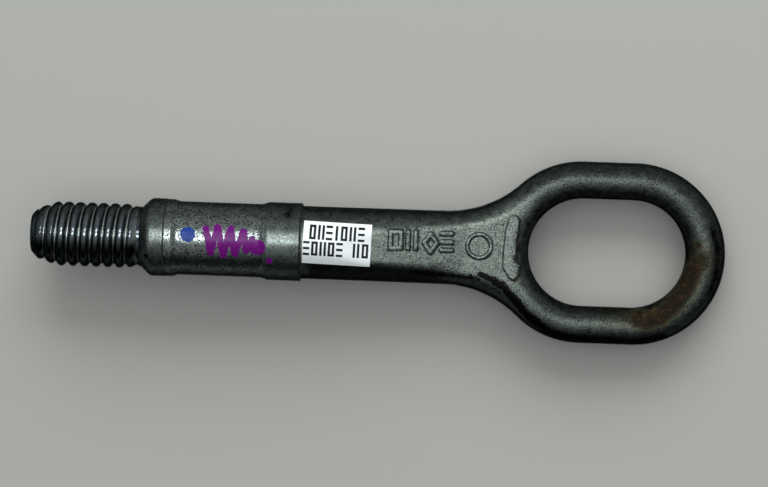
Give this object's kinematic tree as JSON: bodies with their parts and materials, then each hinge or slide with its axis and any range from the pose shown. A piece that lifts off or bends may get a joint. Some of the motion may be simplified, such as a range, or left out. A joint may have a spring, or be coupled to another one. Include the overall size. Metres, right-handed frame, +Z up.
{
  "type": "tow eye",
  "caption": "Screw-in tow eye: forged steel bar with a coarse left-hand round thread, guide lands, a round shank with a paper label, and a flat web that spreads into an obround eye.",
  "frame": {"origin": "on the ground under the middle of the part as it lies at rest on its rear guide land and its eye", "axes": "+X along the part from the tip of the thread towards the eye, +Y across the eye, +Z up, at right angles to the flat side of the eye but for the small tilt at which the part lies"},
  "size_m": [0.2362, 0.0618, 0.0289],
  "materials": {
    "forged_steel": "dark phosphated forging, satin and slightly oily",
    "label_paper": "white semi-gloss paper label"
  },
  "bodies": {
    "root": {"tow_eye": "forged_steel", "stock_label": "label_paper"}
  },
  "joints": []
}
